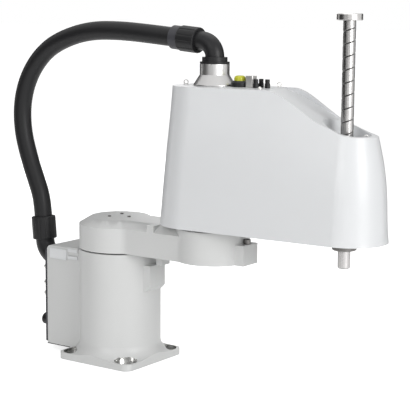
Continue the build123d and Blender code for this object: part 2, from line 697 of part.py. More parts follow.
with BuildPart() as spindle_flange:
    with BuildSketch(Plane.XY.offset(NUT_FLANGE_BOTTOM)):
        with Locations((SPINDLE_X, 0)):
            Circle(NUT_FLANGE_RADIUS)
            Circle(SPINDLE_DIAMETER / 2 + FIT_GAP, mode=Mode.SUBTRACT)
    extrude(amount=ARM_2_BOTTOM - TURNING_GAP - NUT_FLANGE_BOTTOM)
    chamfer(spindle_flange.edges().group_by(Axis.Z)[0].sort_by(SortBy.LENGTH)[-1], FLANGE_CHAMFER)
finish(spindle_flange.part, "spindle_flange")

# Hollow shaft: plain land for the tool, a relief groove, then straight spline grooves
stop_bottom = COVER_TOP - POCKET_FLOOR_DROP + TOP_STOP_CLEARANCE + SPINDLE_STROKE
spindle_top = stop_bottom + TOP_STOP_HEIGHT
relief_bottom = SPINDLE_TIP + TOOL_LAND_LENGTH
grooves_bottom = NUT_FLANGE_BOTTOM
with BuildPart() as spindle_shaft:
    with BuildSketch(Plane.XY.offset(SPINDLE_TIP)):
        with Locations((SPINDLE_X, 0)):
            Circle(SPINDLE_DIAMETER / 2)
            Circle(SPINDLE_BORE_DIAMETER / 2, mode=Mode.SUBTRACT)
    extrude(amount=spindle_top - SPINDLE_TIP)
    chamfer(
        spindle_shaft.edges().group_by(Axis.Z)[0].sort_by(SortBy.LENGTH)[-1], SPINDLE_CHAMFER
    )
    with BuildSketch(Plane.XY.offset(relief_bottom)):
        with Locations((SPINDLE_X, 0)):
            Circle(SPINDLE_DIAMETER / 2)
            Circle(SPINDLE_DIAMETER / 2 - RELIEF_DEPTH, mode=Mode.SUBTRACT)
    extrude(amount=RELIEF_WIDTH, mode=Mode.SUBTRACT)
    with BuildSketch(Plane.XY.offset(grooves_bottom)):
        with Locations((SPINDLE_X, 0)):
            with PolarLocations(SPINDLE_DIAMETER / 2, SPLINE_GROOVE_COUNT):
                Circle(SPLINE_GROOVE_RADIUS)
    extrude(amount=stop_bottom - grooves_bottom, mode=Mode.SUBTRACT)
finish(spindle_shaft.part, "spindle_shaft")

with BuildPart() as spindle_top_stop:
    with BuildSketch(Plane.XY.offset(stop_bottom)):
        with Locations((SPINDLE_X, 0)):
            Circle(TOP_STOP_RADIUS)
            Circle(SPINDLE_DIAMETER / 2 + FIT_GAP, mode=Mode.SUBTRACT)
    extrude(amount=TOP_STOP_HEIGHT)
    rims = spindle_top_stop.edges().filter_by(GeomType.CIRCLE).sort_by(SortBy.RADIUS)[-2:]
    chamfer(rims, TOP_STOP_CHAMFER)
finish(spindle_top_stop.part, "spindle_top_stop")

# Fittings on the cover: brake release button, user connector and air fittings
with BuildPart() as button_base:
    with BuildSketch(Plane.XY.offset(COVER_TOP)):
        with Locations((ARM_1_REACH + BUTTON_OFFSET, 0)):
            Circle(BUTTON_BASE_RADIUS)
    extrude(amount=BUTTON_BASE_HEIGHT)
    chamfer(button_base.faces().sort_by(Axis.Z)[-1].edges(), BUTTON_BASE_CHAMFER)
finish(button_base.part, "button_base")

button_bottom = COVER_TOP + BUTTON_BASE_HEIGHT
with BuildPart() as release_button:
    with BuildSketch(Plane.XY.offset(button_bottom)):
        with Locations((ARM_1_REACH + BUTTON_OFFSET, 0)):
            Circle(BUTTON_RADIUS)
    extrude(amount=BUTTON_HEIGHT)
    fillet(release_button.faces().sort_by(Axis.Z)[-1].edges(), BUTTON_EDGE_RADIUS)
finish(release_button.part, "release_button")

with BuildPart() as user_connector:
    with BuildSketch(Plane.XY.offset(COVER_TOP)):
        with Locations((ARM_1_REACH + USER_CONNECTOR_OFFSET, 0)):
            RectangleRounded(USER_CONNECTOR_SIDE, USER_CONNECTOR_SIDE, USER_CONNECTOR_EDGE_RADIUS)
    extrude(amount=USER_CONNECTOR_HEIGHT)
finish(user_connector.part, "user_connector")

top_fitting_places = [(ARM_1_REACH + x, y) for x, y in TOP_FITTING_OFFSETS]
with BuildPart() as top_air_fittings:
    with BuildSketch(Plane.XY.offset(COVER_TOP)):
        with Locations(*top_fitting_places):
            RegularPolygon(TOP_FITTING_RADIUS, 6)
    extrude(amount=TOP_FITTING_HEIGHT / 2)
    with BuildSketch(Plane.XY.offset(COVER_TOP)):
        with Locations(*top_fitting_places):
            Circle(TOP_FITTING_NECK_RADIUS)
    extrude(amount=TOP_FITTING_HEIGHT)
finish(top_air_fittings.part, "top_air_fittings")
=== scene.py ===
"""Looks of a small four-axis horizontal-arm robot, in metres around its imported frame."""

import json
import math

import bpy
from mathutils import Matrix, Vector


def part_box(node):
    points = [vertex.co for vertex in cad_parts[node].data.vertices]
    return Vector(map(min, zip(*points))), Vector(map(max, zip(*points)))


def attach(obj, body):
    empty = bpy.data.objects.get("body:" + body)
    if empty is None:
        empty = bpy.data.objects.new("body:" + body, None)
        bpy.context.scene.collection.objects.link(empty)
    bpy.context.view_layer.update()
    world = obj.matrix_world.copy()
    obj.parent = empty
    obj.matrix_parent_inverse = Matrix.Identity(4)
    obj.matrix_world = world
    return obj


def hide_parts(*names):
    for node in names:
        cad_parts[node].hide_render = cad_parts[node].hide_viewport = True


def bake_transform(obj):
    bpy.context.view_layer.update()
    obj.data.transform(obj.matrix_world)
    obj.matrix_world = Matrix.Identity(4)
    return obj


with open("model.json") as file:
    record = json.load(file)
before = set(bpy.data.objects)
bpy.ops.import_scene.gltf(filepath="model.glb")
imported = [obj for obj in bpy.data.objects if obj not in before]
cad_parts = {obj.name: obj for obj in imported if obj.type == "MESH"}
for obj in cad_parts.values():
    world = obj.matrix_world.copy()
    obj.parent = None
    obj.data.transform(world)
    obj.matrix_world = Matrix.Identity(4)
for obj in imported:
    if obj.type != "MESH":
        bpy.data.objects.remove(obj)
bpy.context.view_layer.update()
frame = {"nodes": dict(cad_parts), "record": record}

# The upward direction, and a height over the whole robot
UP = Vector((0, 0, 1))
OVER_ALL = 1.0

# Camera: where it stands, and its right, up and backward directions
CAMERA_PLACE = Vector((1.42832, -1.77303, 0.61951))
CAMERA_RIGHT = Vector((0.81751, 0.57586, 0.00797))
CAMERA_UP = Vector((-0.093, 0.11835, 0.98861))
CAMERA_BACK = Vector((0.56835, -0.80894, 0.1503))
CAMERA_LENS = 114.58
CAMERA_SENSOR = 36.0

# Studio floor and world
FLOOR_SIZE = 60.0
FLOOR_GAP = 0.0005
FLOOR_COLOUR = (0.8, 0.8, 0.8, 1)
FLOOR_ROUGHNESS = 0.6
FLOOR_GLOW = 0.7
WORLD_FILL = 0.42

# Cards that only reflections show
CARD_RADIUS = 1.5
CARD_HEIGHTS = (0.0, 1.3)
CARD_STEPS = 24
CARD_SPANS = (
    # from and to in degrees around the object, and the shade
    (-232, -182, 0.05),
    (-165, -96, 0.03),
    (-96, -58, 0.34),
    (45, 95, 0.05),
)

LAMPS = (
    # name, place, the point it looks at, size and power
    ("key", (3.6, -1.0, 1.2), (0.1, 0, 0.25), 1.8, 70),
    ("front", (0.3, -2.6, 1.2), (0.1, 0, 0.25), 1.5, 27),
    ("top", (0.1, 0.3, 2.4), (0.2, 0, 0.2), 1.5, 10),
    ("rear", (-2.2, 2.0, 0.8), (0.1, 0, 0.25), 1.5, 10),
)

# Finishes: colour, grain scale, least and most roughness, bump depth, and what else differs
PAINT = ((0.60, 0.605, 0.60), 900, (0.38, 0.46), 0.00005)
STEEL_BUMP = 0.00002
FINISHES = {
    "paint": (*PAINT, {}),
    "seat_paint": (*PAINT, {}),
    "cover_plastic": ((0.69, 0.70, 0.71), 500, (0.30, 0.36), 0.00002, {}),
    "black_plastic": ((0.011, 0.011, 0.012), 1200, (0.34, 0.48), 0.00005, {"level": 0.3}),
    "grey_plastic": ((0.045, 0.045, 0.052), 1200, (0.35, 0.5), 0.00005, {"level": 0.35}),
    "hose_jacket": ((0.011, 0.011, 0.012), 700, (0.38, 0.52), 0.00004, {"level": 0.28}),
    "button_plastic": ((0.50, 0.50, 0.025), 800, (0.25, 0.35), 0.00002, {}),
    "silver": ((0.75, 0.74, 0.72), 900, (0.34, 0.44), STEEL_BUMP, {"metallic": 1.0}),
    "dark_steel": ((0.16, 0.155, 0.15), 900, (0.3, 0.4), STEEL_BUMP, {"metallic": 1.0}),
    "bright_steel": ((0.56, 0.55, 0.54), 1200, (0.2, 0.3), STEEL_BUMP, {"metallic": 1.0}),
    "ground_shaft": ((0.47, 0.46, 0.455), 1200, (0.2, 0.28), STEEL_BUMP, {"metallic": 1.0}),
    "tower_aluminium": ((0.58, 0.575, 0.57), 1200, (0.3, 0.38), STEEL_BUMP, {"metallic": 1.0}),
}
OWN_MATERIAL = {"base_casting": "seat_paint", "spindle_shaft": "ground_shaft"}

# Surface grain: its inputs with their usual values, and the detail of its two noises
GRAIN_INPUTS = (
    ("Grain Scale", 600.0),
    ("Cloud Scale", 9.0),
    ("Tone Low", 0.97),
    ("Rough Low", 0.4),
    ("Rough High", 0.5),
)
CLOUD_DETAIL = 4.0
PEEL_DETAIL = 2.0

# Bare metal in the bolt seats of the base plate
BOLT_OFFSET = 0.0575
SEAT_RADIUS = 0.0201
SEAT_TOP = 0.0139
SEAT_METAL = (0.72, 0.72, 0.71)
SEAT_ROUGHNESS = 0.22

# Spindle shaft: painted shade in its grooves, and the cut of the helical one
SPINDLE_X = 0.45
SHAFT_RADIUS = 0.010
GROOVE_RADIUS = 0.0094
GROOVE_SHADE = (0.13, 0.13, 0.13)
GROOVE_SHADE_ROUGHNESS = 0.45
SCREW_LEAD = 0.020
SCREW_START = 0.250
SCREW_TURNS = 17
SCREW_STEPS = 32
SCREW_GROOVE_HALF = 0.0013
SCREW_GROOVE_SIDES = 4
ROUND_TOLERANCE = 0.00001

# Finishing of meshes, and the parts of a normal along a direction that tell faces apart
SHARP_ANGLE = math.radians(32)
FLAT_ANGLE = math.radians(1)
MERGE_DISTANCE = 0.000002
EDGE_STEPS = 2
ROUND_SIDES = 24
FACING = 0.9
LEVEL = 0.1
SLOT_OF = {row["node"]: row["material_slot"] for row in frame["record"]["subparts"]}

SOFTENED = (
    # node, the body that it rides on, and the width of its rounded edges
    ("base_casting", "base", 0.0008),
    ("arm_1_casting", "arm_1", 0.0012),
    ("arm_2_cover", "arm_2", 0.0015),
    ("axis_1_stop_lug", "arm_1", 0.001),
    ("hose_tower", "arm_2", 0.0006),
    ("rear_panel", "base", 0.0006),
    ("spindle_flange", "spindle_turn", 0.0005),
    ("power_connector", "base", 0.0006),
    ("signal_connector", "base", 0.0006),
    ("boss_screw", "arm_1", 0.0005),
    ("elbow_collar", "arm_1", 0.0005),
    ("user_connector", "arm_2", 0.0008),
    ("button_base", "arm_2", 0.0006),
)

# Socket screws on the hub and the rear panel, with the shares of a head's size
HUB_TOP = 0.254
HUB_SCREWS = ((0.02, 0.0), (-0.01, 0.0173), (-0.01, -0.0173))
HUB_HEAD_HEIGHT = 0.0016
PANEL_SCREW_INSET = 0.006
PANEL_HEAD_HEIGHT = 0.002
HEAD_RADIUS = 0.003
SOCKET_RIM = 0.45
SOCKET_DEPTH = 0.6
HEAD_EDGE = 0.16

# Wire eyes on the cover, and the polished cap
EYE_PLACES = ((0.136, 0.008), (0.297, 0.046), (0.283, 0.034), (0.474, 0.018))
EYE_RADIUS = 0.0035
EYE_WIRE = 0.0008
EYE_TURN = math.radians(35)
EYE_FOOT_SHARE = 0.8
EYE_FOOT_SIDES = 16
WIRE_SIDES = 8
CAP_PLACES = ((0.304, -0.024),)
CAP_RINGS = 12

# Raised plates on the housing's sides, and a black strip of painted shade along its underside
HOUSING_SIDE = 0.042
HOUSING_BOTTOM = 0.012
HOUSING_PLATES = (
    # name, and the spans in x and z
    ("pad", (-0.1265, -0.0875), (0.1705, 0.1885)),
    ("upper_block", (-0.0835, -0.062), (0.1860, 0.1915)),
    ("lower_block", (-0.0835, -0.062), (0.1735, 0.1790)),
)
PLATE_PROUD = 0.0028
PLATE_RIM = 0.0012
PLATE_SINK = 0.0003
PLATE_EDGE = 0.0009
PLATE_EDGE_STEPS = 3
SHADE_STRIP_THICKNESS = 0.0018
SHADE_STRIP_END = -0.0815
SHADE_STRIP_NARROWER = 0.001
SHADE_STRIP_RIM = 0.004
SHADE_STRIP_EDGE = 0.0003

# Hose nuts, with the grips moulded into them
LOWER_NUT_RADIUS = 0.022
UPPER_NUT_RADIUS = 0.0215
NUT_SIDES = 72
NUT_RIM = 0.0018
NUT_EDGE = 0.0003
GRIP_PERIOD = 6
GRIP_GROOVE = 2
GRIP_DEPTH = 0.0008
GRIP_INSET = 0.0006
GRIP_LEVEL = 0.05

# Hose: its size and the corners of its route
HOSE_DIAMETER = 0.0325
HOSE_ROUND_STEPS = 8
HOSE_LONG_STEPS = 12
HOSE_ROUTE = (
    (0.116951, 0, 0.568632),
    (0.060965, 0, 0.57353),
    (0.002, 0, 0.5775),
    (-0.0605, 0, 0.577),
    (-0.118, 0, 0.5645),
    (-0.17, 0, 0.541),
    (-0.2095, 0, 0.499),
    (-0.23, 0, 0.448),
    (-0.2303, 0, 0.3925),
    (-0.214, 0, 0.34),
    (-0.198, 0, 0.302),
    (-0.1885, 0, 0.28),
    (-0.183303, 0, 0.258027),
    (-0.181351, 0, 0.235712),
)


def make_camera():
    """Sets the camera at the photograph's angle."""
    data = bpy.data.cameras.new("camera")
    data.sensor_width = CAMERA_SENSOR
    data.sensor_fit = "HORIZONTAL"
    data.lens = CAMERA_LENS
    camera = bpy.data.objects.new("camera", data)
    turn = Matrix((CAMERA_RIGHT, CAMERA_UP, CAMERA_BACK)).transposed()
    camera.matrix_world = Matrix.Translation(CAMERA_PLACE) @ turn.to_4x4()
    bpy.context.collection.objects.link(camera)
    bpy.context.scene.camera = camera


def new_material(name):
    """Returns a node material with its nodes, links and Principled shader."""
    material = bpy.data.materials.new(name)
    material.use_nodes = True
    tree = material.node_tree
    return material, tree.nodes, tree.links, tree.nodes["Principled BSDF"]


def new_group(name, inputs, outputs):
    """Returns an empty shader node group with float sockets and its two end nodes."""
    group = bpy.data.node_groups.new(name, "ShaderNodeTree")
    for label, default in inputs:
        socket = group.interface.new_socket(label, in_out="INPUT", socket_type="NodeSocketFloat")
        socket.default_value = default
    for label in outputs:
        group.interface.new_socket(label, in_out="OUTPUT", socket_type="NodeSocketFloat")
    return group, group.nodes.new("NodeGroupInput"), group.nodes.new("NodeGroupOutput")


def feed(links, source, socket):
    """Gives a socket a plain value or the output of another node."""
    if isinstance(source, (int, float)):
        socket.default_value = source
    else:
        links.new(source, socket)


def spread(nodes, links, source, low, high):
    """Maps a 0 to 1 value onto the span from one value to another and returns the result."""
    node = nodes.new("ShaderNodeMapRange")
    links.new(source, node.inputs["Value"])
    feed(links, low, node.inputs["To Min"])
    feed(links, high, node.inputs["To Max"])
    return node.outputs["Result"]


def reckon(nodes, links, operation, *sources):
    """Returns the result of one step of arithmetic on its sources."""
    node = nodes.new("ShaderNodeMath")
    node.operation = operation
    for source, socket in zip(sources, node.inputs):
        feed(links, source, socket)
    return node.outputs["Value"]


def make_grain_group():
    """Fine skin of paint or moulded plastic: cloudy tone, uneven gloss and orange peel."""
    outputs = ("Tone", "Roughness", "Height")
    group, start, end = new_group("surface_grain", GRAIN_INPUTS, outputs)
    nodes, links = group.nodes, group.links
    place = nodes.new("ShaderNodeTexCoord")
    clouds = nodes.new("ShaderNodeTexNoise")
    clouds.inputs["Detail"].default_value = CLOUD_DETAIL
    peel = nodes.new("ShaderNodeTexNoise")
    peel.inputs["Detail"].default_value = PEEL_DETAIL
    for node, label in ((clouds, "Cloud Scale"), (peel, "Grain Scale")):
        links.new(place.outputs["Object"], node.inputs["Vector"])
        links.new(start.outputs[label], node.inputs["Scale"])
    cloudy = clouds.outputs["Fac"]
    tone = spread(nodes, links, cloudy, start.outputs["Tone Low"], 1.0)
    rough = spread(nodes, links, cloudy, start.outputs["Rough Low"], start.outputs["Rough High"])
    links.new(tone, end.inputs["Tone"])
    links.new(rough, end.inputs["Roughness"])
    links.new(peel.outputs["Fac"], end.inputs["Height"])
    return group


def grained(grain, name, colour, grain_scale, rough, bump, metallic=0.0, level=0.5):
    """A material whose colour, gloss and bump come from the surface grain."""
    material, nodes, links, shader = new_material(name)
    skin = nodes.new("ShaderNodeGroup")
    skin.node_tree = grain
    skin.inputs["Grain Scale"].default_value = grain_scale
    skin.inputs["Rough Low"].default_value, skin.inputs["Rough High"].default_value = rough
    tint = nodes.new("ShaderNodeMix")
    tint.data_type = "RGBA"
    tint.inputs["A"].default_value = (0, 0, 0, 1)
    tint.inputs["B"].default_value = (*colour, 1)
    links.new(skin.outputs["Tone"], tint.inputs["Factor"])
    links.new(tint.outputs["Result"], shader.inputs["Base Color"])
    links.new(skin.outputs["Roughness"], shader.inputs["Roughness"])
    relief = nodes.new("ShaderNodeBump")
    relief.inputs["Distance"].default_value = bump
    links.new(skin.outputs["Height"], relief.inputs["Height"])
    links.new(relief.outputs["Normal"], shader.inputs["Normal"])
    shader.inputs["Metallic"].default_value = metallic
    shader.inputs["Specular IOR Level"].default_value = level
    return material


def ring_mask(name, centre, radius, top, mirrored):
    """Mask that is 1 near an upright axis and below a height, or near four mirrored ones."""
    group, start, end = new_group(name, (("Radius", radius), ("Top", top)), ("Mask",))
    nodes, links = group.nodes, group.links
    place = nodes.new("ShaderNodeTexCoord")
    parts = nodes.new("ShaderNodeSeparateXYZ")
    links.new(place.outputs["Object"], parts.inputs["Vector"])
    flat = nodes.new("ShaderNodeCombineXYZ")
    for label, middle in zip("XY", centre):
        offset = parts.outputs[label]
        if mirrored:
            offset = reckon(nodes, links, "ABSOLUTE", offset)
        links.new(reckon(nodes, links, "SUBTRACT", offset, middle), flat.inputs[label])
    distance = nodes.new("ShaderNodeVectorMath")
    distance.operation = "LENGTH"
    links.new(flat.outputs["Vector"], distance.inputs[0])
    near = reckon(nodes, links, "LESS_THAN", distance.outputs["Value"], start.outputs["Radius"])
    below = reckon(nodes, links, "LESS_THAN", parts.outputs["Z"], start.outputs["Top"])
    links.new(reckon(nodes, links, "MULTIPLY", near, below), end.inputs["Mask"])
    return group


def change_where(material, mask_group, colour, rough):
    """Gives a material another colour and gloss where a mask is 1, and returns the mask."""
    nodes, links = material.node_tree.nodes, material.node_tree.links
    shader = nodes["Principled BSDF"]
    mask_node = nodes.new("ShaderNodeGroup")
    mask_node.node_tree = mask_group
    mask = mask_node.outputs["Mask"]
    tint = nodes.new("ShaderNodeMix")
    tint.data_type = "RGBA"
    links.new(mask, tint.inputs["Factor"])
    links.new(shader.inputs["Base Color"].links[0].from_socket, tint.inputs["A"])
    tint.inputs["B"].default_value = (*colour, 1)
    links.new(tint.outputs["Result"], shader.inputs["Base Color"])
    usual = shader.inputs["Roughness"].links[0].from_socket
    links.new(spread(nodes, links, mask, usual, rough), shader.inputs["Roughness"])
    return mask


def make_materials():
    """Returns every material by its name."""
    grain = make_grain_group()
    table = {}
    for name, (colour, grain_scale, rough, bump, others) in FINISHES.items():
        table[name] = grained(grain, name, colour, grain_scale, rough, bump, **others)
    seats = ring_mask("bolt_seats", (BOLT_OFFSET, BOLT_OFFSET), SEAT_RADIUS, SEAT_TOP, True)
    bare = change_where(table["seat_paint"], seats, SEAT_METAL, SEAT_ROUGHNESS)
    tree = table["seat_paint"].node_tree
    metal = tree.nodes["Principled BSDF"].inputs["Metallic"]
    tree.links.new(spread(tree.nodes, tree.links, bare, 0.0, 1.0), metal)
    # Painted shade: the shaft's grooves are given a dark grey colour
    grooves = ring_mask("shaded_grooves", (SPINDLE_X, 0.0), GROOVE_RADIUS, OVER_ALL, False)
    change_where(table["ground_shaft"], grooves, GROOVE_SHADE, GROOVE_SHADE_ROUGHNESS)
    return table


def finish_cad_nodes():
    """Gives every CAD node the material of its slot, or its own."""
    for name, slot in SLOT_OF.items():
        node = frame["nodes"][name]
        node.data.materials.clear()
        node.data.materials.append(MATERIALS[OWN_MATERIAL.get(name, slot)])


def select_only(piece):
    """Makes a piece the only selected and the active object."""
    bpy.ops.object.select_all(action="DESELECT")
    piece.select_set(True)
    bpy.context.view_layer.objects.active = piece


def apply_modifiers(piece):
    """Applies every modifier of a piece, in order."""
    select_only(piece)
    for modifier in list(piece.modifiers):
        bpy.ops.object.modifier_apply(modifier=modifier.name)


def settle(piece):
    """Puts a piece's place, turn and size into its mesh."""
    select_only(piece)
    bpy.ops.object.transform_apply(location=True, rotation=True, scale=True)


def soften(piece, width, segments=EDGE_STEPS):
    """Rounds a piece's sharp edges, and shades it smooth with its flat faces kept flat."""
    bevel = piece.modifiers.new("edges", "BEVEL")
    bevel.width = width
    bevel.segments = segments
    bevel.limit_method = "ANGLE"
    bevel.angle_limit = SHARP_ANGLE
    bevel.harden_normals = False
    bevel.use_clamp_overlap = True
    apply_modifiers(piece)
    bpy.ops.object.shade_smooth_by_angle(angle=SHARP_ANGLE)
    weighted = piece.modifiers.new("flat_faces", "WEIGHTED_NORMAL")
    weighted.keep_sharp = True
    apply_modifiers(piece)


def merged_copy(node, name):
    """Returns a copy of a CAD node whose loose triangles are merged into plain faces."""
    piece = bpy.data.objects.new(name, frame["nodes"][node].data.copy())
    bpy.context.collection.objects.link(piece)
    select_only(piece)
    bpy.ops.object.mode_set(mode="EDIT")
    bpy.ops.mesh.select_all(action="SELECT")
    bpy.ops.mesh.remove_doubles(threshold=MERGE_DISTANCE)
    bpy.ops.mesh.dissolve_limited(angle_limit=FLAT_ANGLE)
    bpy.ops.object.mode_set(mode="OBJECT")
    return piece


def stand_in(piece, node, body):
    """Puts a piece on a body in place of a CAD node, and hides that node."""
    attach(piece, body)
    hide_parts(node)


def dress(node, body, width):
    """Replaces a CAD node by a copy of its mesh with softened edges."""
    piece = merged_copy(node, node + "_finish")
    soften(piece, width)
    stand_in(piece, node, body)
    return piece


def finish_piece(piece, body, slot):
    """Puts a new piece on its body with the finish of a slot."""
    piece.data.materials.clear()
    piece.data.materials.append(MATERIALS[slot])
    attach(piece, body)


def pick_faces(piece, wanted):
    """Leaves the piece in edit mode with only the faces selected that a test wants."""
    select_only(piece)
    bpy.ops.object.mode_set(mode="EDIT")
    bpy.ops.mesh.select_mode(type="FACE")
    bpy.ops.mesh.select_all(action="DESELECT")
    bpy.ops.object.mode_set(mode="OBJECT")
    for face in piece.data.polygons:
        face.select = wanted(face)
    bpy.ops.object.mode_set(mode="EDIT")


def turned(facing):
    """Returns the rotation that turns +Z to a direction."""
    return Vector(facing).to_track_quat("Z", "Y").to_euler()


def new_primitive(name, add, **options):
    """Adds a primitive under a name, with its place in its mesh."""
    bpy.ops.object.select_all(action="DESELECT")
    add(**options)
    piece = bpy.context.object
    piece.name = name
    settle(piece)
    return piece


def round_bar(name, sides, radius, foot, facing, height):
    """Adds a round bar whose foot stands at a point and that reaches along a direction."""
    return new_primitive(
        name,
        bpy.ops.mesh.primitive_cylinder_add,
        vertices=sides,
        radius=radius,
        depth=height,
        location=Vector(foot) + Vector(facing) * height / 2,
        rotation=turned(facing),
    )


def slab(name, middle, size):
    """Adds a block of a size round a point."""
    bpy.ops.object.select_all(action="DESELECT")
    bpy.ops.mesh.primitive_cube_add(size=1, location=middle)
    piece = bpy.context.object
    piece.name = name
    piece.scale = size
    settle(piece)
    return piece


def route_curve(name, points, bevel):
    """Returns a curve object of one smooth spline with the given control points."""
    data = bpy.data.curves.new(name, "CURVE")
    data.dimensions = "3D"
    spline = data.splines.new("NURBS")
    spline.points.add(len(points) - 1)
    for point, place in zip(spline.points, points):
        point.co = (*place, 1)
    spline.order_u = 3
    spline.use_endpoint_u = True
    spline.resolution_u = HOSE_LONG_STEPS
    data.bevel_depth = bevel
    data.bevel_resolution = HOSE_ROUND_STEPS
    curve = bpy.data.objects.new(name, data)
    bpy.context.collection.objects.link(curve)
    return curve


def mesh_of(curve):
    """Returns the curve's mesh and removes the curve."""
    bpy.context.view_layer.update()
    mesh = bpy.data.meshes.new_from_object(curve)
    bpy.data.objects.remove(curve)
    return mesh


def make_hose():
    """The cable hose: a smooth tube that runs in a curve from the base up to arm 1."""
    path_mesh = mesh_of(route_curve("hose_path", HOSE_ROUTE, 0))
    tube = mesh_of(route_curve("hose_tube", HOSE_ROUTE, HOSE_DIAMETER / 2))
    hose = bpy.data.objects.new("cable_hose", tube)
    bpy.context.collection.objects.link(hose)
    tube.materials.clear()
    tube.materials.append(MATERIALS["hose_jacket"])
    for face in tube.polygons:
        face.use_smooth = True
    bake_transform(hose)
    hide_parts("hose")


def grip_nut(node, body, on_axis, way, radius):
    """Replaces a hose nut by one with moulded grips round it."""
    way = way.normalized()
    reach = [vertex.co.dot(way) for vertex in frame["nodes"][node].data.vertices]
    low, high = min(reach), max(reach)
    origin = on_axis - way * on_axis.dot(way)
    piece = round_bar(node + "_grip", NUT_SIDES, radius, origin + way * low, way, high - low)
    pick_faces(piece, lambda face: abs(face.normal.dot(way)) > FACING)
    bpy.ops.mesh.bevel(offset=NUT_RIM, segments=EDGE_STEPS, affect="EDGES")
    bpy.ops.object.mode_set(mode="OBJECT")
    side = way.orthogonal().normalized()
    across = way.cross(side)

    def in_groove(face):
        angle = math.atan2(face.normal.dot(across), face.normal.dot(side))
        place = int((angle / math.tau + 1) * NUT_SIDES)
        return abs(face.normal.dot(way)) <= GRIP_LEVEL and place % GRIP_PERIOD < GRIP_GROOVE

    pick_faces(piece, in_groove)
    bpy.ops.mesh.inset(thickness=GRIP_INSET, depth=-GRIP_DEPTH)
    bpy.ops.object.mode_set(mode="OBJECT")
    soften(piece, NUT_EDGE)
    finish_piece(piece, body, SLOT_OF[node])
    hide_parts(node)


def make_hose_nuts():
    """The gripped nuts at both ends of the hose."""
    route = [Vector(point) for point in HOSE_ROUTE]
    grip_nut("lower_hose_nut", "base", route[-1], route[-2] - route[-1], LOWER_NUT_RADIUS)
    grip_nut("upper_hose_nut", "arm_1", route[0], route[1] - route[0], UPPER_NUT_RADIUS)


def round_shading(mesh, centre_x):
    """Shades the walls round an upright axis as true cylinders and leaves the rest flat."""
    normals = []
    for face in mesh.polygons:
        corners = [mesh.vertices[number].co for number in face.vertices]
        outward = [Vector((corner.x - centre_x, corner.y, 0)) for corner in corners]
        radii = [arm.length for arm in outward]
        is_wall = max(radii) - min(radii) < ROUND_TOLERANCE and abs(face.normal.z) < LEVEL
        for arm in outward:
            unit = arm.normalized()
            side = math.copysign(1, unit.dot(face.normal))
            normals.append(unit * side if is_wall else face.normal)
        face.use_smooth = True
    mesh.normals_split_custom_set(normals)


def screw_cutter():
    """Returns the closed helical bar that the shaft's groove is cut with."""
    bpy.ops.object.select_all(action="DESELECT")
    bpy.ops.mesh.primitive_circle_add(
        vertices=SCREW_GROOVE_SIDES,
        radius=SCREW_GROOVE_HALF,
        fill_type="NOTHING",
        location=(SPINDLE_X + SHAFT_RADIUS, 0, SCREW_START),
        rotation=(math.pi / 2, 0, 0),
    )
    cutter = bpy.context.object
    settle(cutter)
    bpy.context.scene.cursor.location = (SPINDLE_X, 0, 0)
    bpy.ops.object.origin_set(type="ORIGIN_CURSOR")
    screw = cutter.modifiers.new("turns", "SCREW")
    screw.axis = "Z"
    screw.screw_offset = SCREW_LEAD
    screw.iterations = SCREW_TURNS
    screw.steps = SCREW_STEPS
    screw.render_steps = SCREW_STEPS
    screw.use_smooth_shade = False
    apply_modifiers(cutter)
    settle(cutter)
    bpy.ops.object.mode_set(mode="EDIT")
    bpy.ops.mesh.select_all(action="DESELECT")
    bpy.ops.mesh.select_mode(type="EDGE")
    bpy.ops.mesh.select_non_manifold()
    bpy.ops.mesh.fill_holes(sides=SCREW_GROOVE_SIDES)
    bpy.ops.mesh.select_all(action="SELECT")
    bpy.ops.mesh.normals_make_consistent(inside=False)
    bpy.ops.object.mode_set(mode="OBJECT")
    return cutter


def groove_shaft():
    """Replaces the spindle shaft by a copy that also has its helical groove."""
    shaft = merged_copy("spindle_shaft", "grooved_shaft")
    cutter = screw_cutter()
    cut = shaft.modifiers.new("helical_groove", "BOOLEAN")
    cut.operation = "DIFFERENCE"
    cut.solver = "EXACT"
    cut.object = cutter
    apply_modifiers(shaft)
    bpy.data.objects.remove(cutter)
    round_shading(shaft.data, SPINDLE_X)
    stand_in(shaft, "spindle_shaft", "spindle")


def housing_plate(name, side, span_x, span_z):
    """A raised plate with rounded corners on one side of the rear housing."""
    middle = (sum(span_x) / 2, side * (HOUSING_SIDE + PLATE_PROUD / 2), sum(span_z) / 2)
    size = (span_x[1] - span_x[0], PLATE_PROUD, span_z[1] - span_z[0])
    piece = slab(name, middle, size)
    pick_faces(piece, lambda face: face.normal.y * side > FACING)
    bpy.ops.mesh.inset(thickness=PLATE_RIM, depth=0)
    bpy.ops.mesh.inset(thickness=0, depth=-PLATE_SINK)
    bpy.ops.object.mode_set(mode="OBJECT")
    soften(piece, PLATE_EDGE, PLATE_EDGE_STEPS)
    finish_piece(piece, "base", "cover_plastic")


def make_housing_pieces():
    """The raised plates on the housing's sides and a black strip of painted shade along its
    underside.
    """
    for side, word in ((-1, "near"), (1, "far")):
        for label, span_x, span_z in HOUSING_PLATES:
            housing_plate(f"housing_{label}_{word}", side, span_x, span_z)
    _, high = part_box("rear_panel")
    middle = ((high.x + SHADE_STRIP_END) / 2, 0, HOUSING_BOTTOM - SHADE_STRIP_THICKNESS / 2)
    size = (SHADE_STRIP_END - high.x, 2 * HOUSING_SIDE - SHADE_STRIP_NARROWER, SHADE_STRIP_THICKNESS)
    # Painted shade: a black strip under the housing's bottom edge stands in for the shade that
    # falls there
    shade_strip = slab("housing_shade_strip", middle, size)
    pick_faces(shade_strip, lambda face: face.normal.z < -FACING)
    bpy.ops.mesh.inset(thickness=SHADE_STRIP_RIM, depth=-SHADE_STRIP_THICKNESS / 2)
    bpy.ops.object.mode_set(mode="OBJECT")
    soften(shade_strip, SHADE_STRIP_EDGE)
    finish_piece(shade_strip, "base", "black_plastic")


